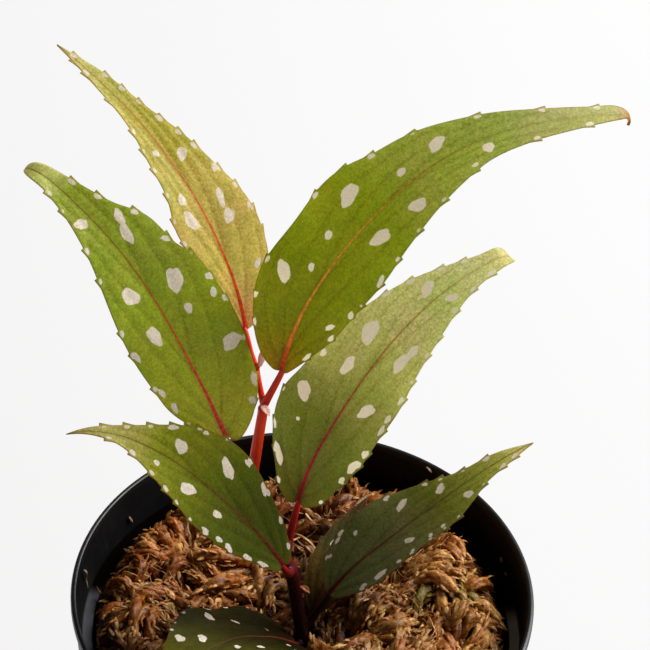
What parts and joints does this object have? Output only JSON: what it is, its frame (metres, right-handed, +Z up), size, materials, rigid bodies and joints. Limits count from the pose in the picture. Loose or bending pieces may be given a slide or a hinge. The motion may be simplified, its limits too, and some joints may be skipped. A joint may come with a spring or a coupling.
{
  "type": "potted plant",
  "caption": "Potted begonia with long toothed leaves flecked with silver on a red zig-zag stem, standing in long-fibre moss in a round black nursery pot.",
  "frame": {"origin": "centre of the pot's underside", "axes": "+Z up through the middle of the pot; -Y towards the side the leaves face; the plant leans a little to -X"},
  "size_m": [0.1056, 0.09, 0.1805],
  "materials": {
    "pot_plastic": "satin black, thin-walled",
    "moss_fibre": "dry matt fibres, tan to orange-brown",
    "red_stem": "smooth, slightly translucent crimson to orange-red",
    "young_leaf_blade": "thin, translucent yellow-green with silver flecks",
    "leaf_blade": "satin olive green with silver flecks and a fine red edge",
    "shaded_leaf_blade": "satin dark green with silver flecks and a fine red edge",
    "papery_scale": "dry, pale pink, part see-through"
  },
  "bodies": {
    "root": {"pot": "pot_plastic", "moss": "moss_fibre", "stem": "red_stem", "leaf_1": "young_leaf_blade", "leaf_2": "leaf_blade", "leaf_3": "leaf_blade", "leaf_4": "leaf_blade", "leaf_5": "leaf_blade", "leaf_6": "shaded_leaf_blade", "leaf_7": "shaded_leaf_blade", "leaf_8": "shaded_leaf_blade", "stipule_1": "papery_scale", "stipule_2": "papery_scale", "bud": "papery_scale"}
  },
  "joints": []
}
